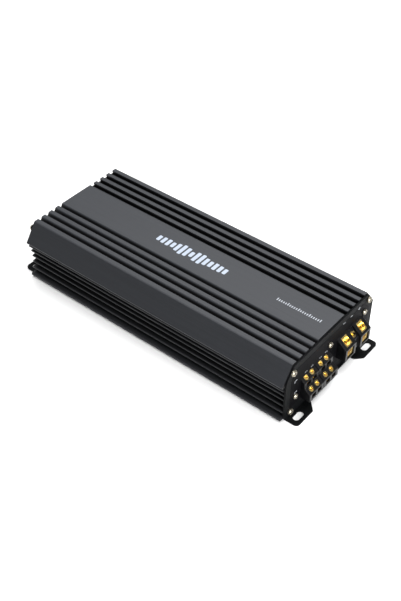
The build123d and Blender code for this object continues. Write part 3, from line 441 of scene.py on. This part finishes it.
def gold_plate(name, bore_roughness):
    """Gold over brass, whose drilled bores, below the level of the screws, are left rougher."""
    material = surface(name, Metallic=1.0)
    mottle(material, grain(material, 3.5), colours=("dab45e", "f2dd9c"))
    tool_marks = grain(material, 0.5, 3.0)
    mottle(material, tool_marks, depth_mm=0.006)
    polish = add_node(material, "MapRange", {"Value": tool_marks, "To Min": 0.15, "To Max": 0.30})
    place = add_node(material, "TexCoord", {}).outputs["Object"]
    height = add_node(material, "SeparateXYZ", {"Vector": place}).outputs["Z"]
    span = {"From Min": BORE_FADE[0], "From Max": BORE_FADE[1]}
    drilled = add_node(material, "MapRange", {"Value": height, **span, "To Max": bore_roughness})
    both = {0: polish.outputs["Result"], 1: drilled.outputs["Result"]}
    wire(material, "Roughness", add_node(material, "Math", both, operation="ADD").outputs[0])
    return material


# The plating is bright, with fine tool marks, and its yellow is deeper in some places than in
# others. The bores of the power contacts look duller than their faces.
gold_contact = gold_plate("gold_plated_contact", 0.28)
dress(gold_contact, "ground_contact", "battery_contact", "remote_contact")
gold = gold_plate("gold_plated_brass", 0.0)
dress(gold, "ground_screw", "battery_screw", "remote_screw", "speaker_contacts", "jack_shells")
dress(gold, *[f"speaker_screw_{row}_{n}" for row in ("upper", "lower") for n in (1, 2, 3, 4)])


# ------------------------------------------------------------ controls
# Shafts and sliders are moulded in black acetal, the lamps in red plastic, and the cores of
# the jacks in a cream plastic. They show through holes in the control end plate.
# The acetal is black with a slightly greasy, even gloss.
acetal = surface("black_acetal", IOR=1.48)
mottle(acetal, grain(acetal, 0.3), ("17181a", "202124"), (0.35, 0.5))
dress(acetal, "potentiometer_bodies", "front_filter_slider", "rear_filter_slider")
dress(acetal, "front_crossover_shaft", "front_gain_shaft", "bass_boost_shaft")
dress(acetal, "rear_gain_shaft", "rear_crossover_shaft")

# Drawn steel for the switches' shells: plain, pale and fairly bright metal.
switch_shell = surface("drawn_steel", Metallic=1.0, Base_Color=srgb("a5a6a8"))
mottle(switch_shell, grain(switch_shell, 0.5), roughness=(0.3, 0.45))
dress(switch_shell, "switch_bodies")

# Glossy red plastic, half clear, which is deeper where it is thicker.
lamp = surface("red_lamp_plastic", IOR=1.56, Transmission_Weight=0.5, Roughness=0.15)
mottle(lamp, grain(lamp, 1.5), ("a01410", "c8241a"))
dress(lamp, "status_leds")

# A warm off-white with a low sheen.
cream = surface("cream_pbt_plastic", IOR=1.54)
mottle(cream, grain(cream, 0.6), ("d9d4c5", "e6e2d6"), (0.35, 0.5))
dress(cream, "jack_cores")


# ------------------------------------------------------------ circuit boards
# Glass cloth in resin under a green solder mask, screwed down inside the housing.
# The mask is glossy, and the weave under it just shows as fine light and dark threads.
board = surface("green_solder_mask", IOR=1.55)
mottle(board, grain(board, 0.5, 1.0, (1.0, 3.0, 1.0)), ("0c3a22", "12492c"), (0.25, 0.4))
dress(board, "circuit_board", "driver_board")


# ------------------------------------------------------------ parts on the boards
# Ferrite rings wound with enamelled copper, sleeved capacitors, and moulded transistors and
# chips, the transistors pressed to the housing through silicone pads by aluminium bars.
# Sintered ferrite is charcoal grey and dull, like fine stone.
ferrite = surface("sintered_ferrite", IOR=1.6)
mottle(ferrite, grain(ferrite, 0.6), ("2b2d2c", "3a3c3a"), (0.6, 0.8))
dress(ferrite, "transformer_core", "inductor_cores")

# Enamel gives copper wire a deep reddish brown, with a bright line along each turn.
copper = surface("enamelled_copper_wire", Metallic=1.0)
mottle(copper, grain(copper, 0.9), ("8a3f1c", "c46a35"), (0.25, 0.45), 0.15)
dress(copper, "transformer_windings", "inductor_windings")

# Shrunk plastic sleeve: blue-black and glossy.
sleeve = surface("heat_shrink_sleeve", IOR=1.52)
mottle(sleeve, grain(sleeve, 4.0), colours=("14141c", "1c1c28"))
mottle(sleeve, grain(sleeve, 1.0), roughness=(0.2, 0.35))
dress(sleeve, "electrolytic_capacitors")

# Moulded epoxy is a dusty, matt black.
epoxy = surface("moulded_epoxy", IOR=1.55)
mottle(epoxy, grain(epoxy, 0.3), ("191a1b", "232425"), (0.5, 0.7))
dress(epoxy, "power_transistors", "driver_chips", "preamp_chips")

# The pads are a chalky mid grey with no shine.
silicone = surface("grey_silicone_pad", IOR=1.41)
mottle(silicone, grain(silicone, 1.0), ("8d8f90", "9fa1a2"), (0.6, 0.8))
dress(silicone, "insulating_pads")

# Bare extruded aluminium: pale, with long lines that stretch its reflections.
clamp_bar = surface("plain_aluminium_bar", Metallic=1.0)
mottle(clamp_bar, grain(clamp_bar, 0.4, 2.0, (40.0, 1.0, 1.0)), ("b4b6b9", "c9cbce"), (0.3, 0.45))
dress(clamp_bar, "clamp_bars")


# ------------------------------------------------------------ floor, light and camera
# A pale matt paper floor. One broad light hangs overhead and a little behind, two small ones
# reach the terminal end, one from high up and one from low down, and a dim white world fills in.
FLOOR_HALF = 6.0
WORLD_FILL = 0.22

paper = surface("pale_floor", Base_Color=srgb("f4f4f4"), Roughness=0.9)
floor = mesh_object("floor", paper, lambda shape: bmesh.ops.create_grid(shape, size=FLOOR_HALF))

world = bpy.data.worlds.new("studio")
bpy.context.scene.world = world
world.use_nodes = True
backdrop = world.node_tree.nodes["Background"]
backdrop.inputs["Color"].default_value = srgb("ffffff")
backdrop.inputs["Strength"].default_value = WORLD_FILL


def softbox(name, place, target, side, power):
    """A square area light of a side in metres and a power in watts, facing its target."""
    light = bpy.data.lights.new(name, "AREA")
    light.shape = "SQUARE"
    light.size = side
    light.energy = power
    lamp_head = bpy.data.objects.new(name, light)
    bpy.context.scene.collection.objects.link(lamp_head)
    lamp_head.location = place
    lamp_head.rotation_euler = (Vector(target) - Vector(place)).to_track_quat("-Z", "Y").to_euler()


softbox("overhead_light", place=(-0.05, 0.5, 1.9), target=(0, 0, 0), side=2.4, power=84.0)
softbox("terminal_light", place=(0.98, 1.15, 1.4), target=(0.13, 0, 0.03), side=0.85, power=3.0)
softbox("entry_light", place=(1.0, -0.35, 0.32), target=(0.14, 0.0, 0.02), side=0.45, power=14.0)

bpy.context.scene.view_settings.view_transform = "Standard"

CAMERA_PLACE = (0.3927, -0.4739, 0.5623)
CAMERA_FORWARD = (-0.46775, 0.57458, -0.67162)
CAMERA_LENS_MM = 58.34
CAMERA_SENSOR_MM = 36.0
camera = bpy.data.objects.new("camera", bpy.data.cameras.new("camera"))
bpy.context.scene.collection.objects.link(camera)
camera.location = CAMERA_PLACE
camera.rotation_euler = Vector(CAMERA_FORWARD).to_track_quat("-Z", "Y").to_euler()
camera.data.lens = CAMERA_LENS_MM
camera.data.sensor_width = CAMERA_SENSOR_MM
camera.data.dof.use_dof = False
bpy.context.scene.camera = camera
